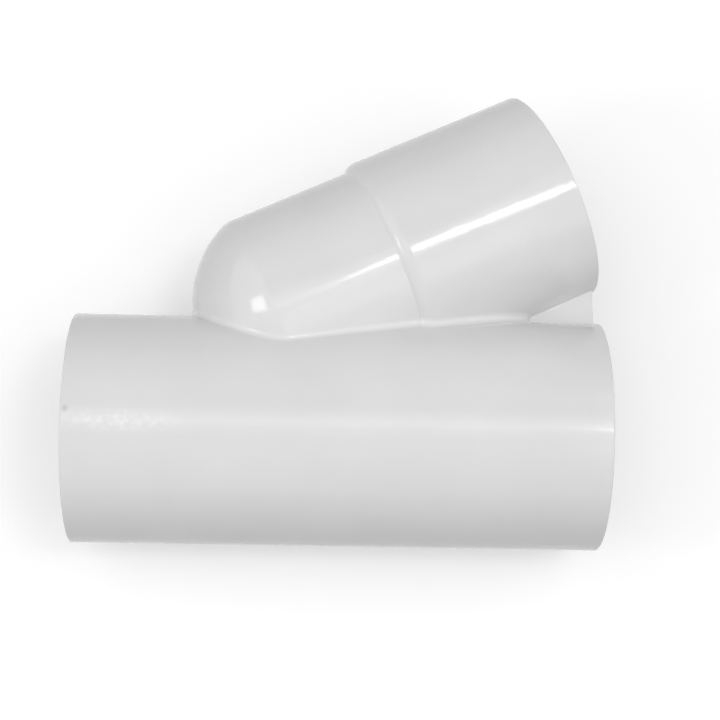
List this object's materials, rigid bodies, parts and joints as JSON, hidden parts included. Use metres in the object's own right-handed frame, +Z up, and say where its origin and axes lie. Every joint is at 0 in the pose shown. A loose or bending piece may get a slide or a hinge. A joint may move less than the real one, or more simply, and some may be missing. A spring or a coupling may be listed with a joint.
{
  "type": "lateral wye fitting",
  "caption": "Straight pipe tube with a socket at both ends and a socketed branch leaning over one end at 25 degrees, domed at its heel and tied to the run by a thin web.",
  "frame": {"origin": "centre of the run's inlet mouth, on the run's axis", "axes": "+X along the run from inlet to outlet, +Y from the run toward the branch, +Z up; the fitting lies on its side and the XY plane is its plane of symmetry"},
  "size_m": [0.2803, 0.2496, 0.1216],
  "materials": {
    "white_pvc": "smooth moulded gloss"
  },
  "bodies": {
    "root": {"wye_body": "white_pvc"}
  },
  "joints": []
}
